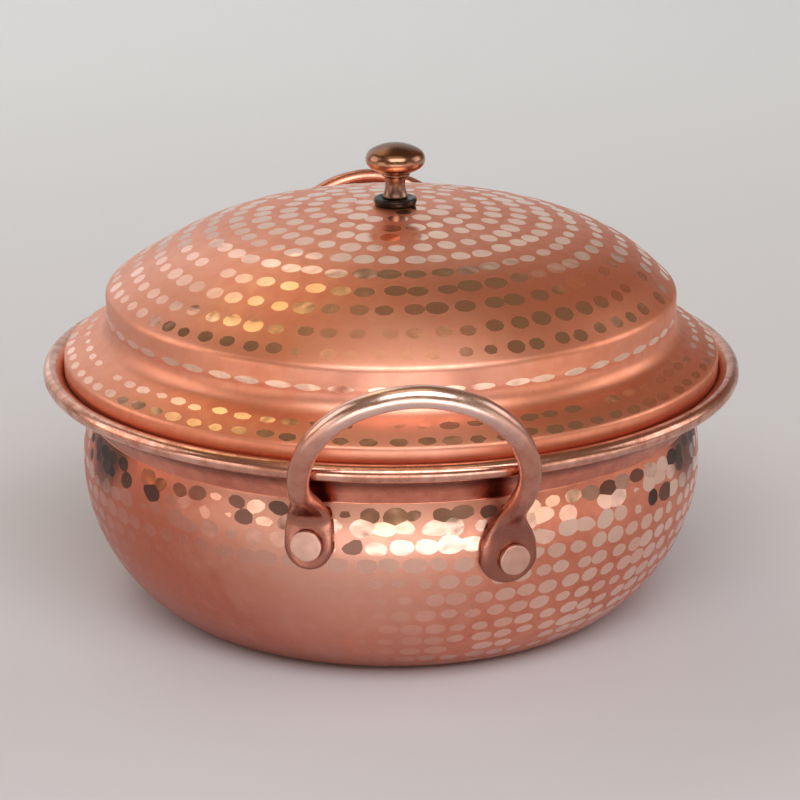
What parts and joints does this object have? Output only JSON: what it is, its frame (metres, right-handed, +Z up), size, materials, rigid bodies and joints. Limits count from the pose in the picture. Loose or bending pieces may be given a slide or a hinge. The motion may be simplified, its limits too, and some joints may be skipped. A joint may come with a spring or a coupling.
{
  "type": "cooking pot",
  "caption": "Round-bellied hammered copper cooking pot with a rolled rim, arched riveted side handles and a domed lid with a turned knob.",
  "frame": {"origin": "middle of the flat base's underside", "axes": "+Z up along the pot's axis, the handles at -Y (front) and +Y (rear)"},
  "size_m": [0.3, 0.352, 0.1984],
  "materials": {
    "pot_copper": "hammered satin",
    "wire_copper": "drawn",
    "handle_copper": "hand-bent satin",
    "rivet_copper": "hammered",
    "lid_copper": "hammered satin",
    "knob_bronze": "turned, patinated",
    "dark_bronze": "dark patina",
    "fixing_brass": "machined"
  },
  "bodies": {
    "pot": {"pot_body": "pot_copper", "pot_collar": "pot_copper", "rim_wire": "wire_copper", "front_handle": "handle_copper", "rear_handle": "handle_copper", "front_left_rivet": "rivet_copper", "front_right_rivet": "rivet_copper", "rear_left_rivet": "rivet_copper", "rear_right_rivet": "rivet_copper"},
    "lid": {"lid_shell": "lid_copper", "knob": "knob_bronze", "knob_base": "dark_bronze", "knob_washer": "fixing_brass", "knob_screw": "fixing_brass"}
  },
  "joints": [
    {"name": "lid_lift", "type": "slide", "parent": "pot", "child": "lid", "axis": [0, 0, 1], "range_m": [0, 0.06]}
  ]
}
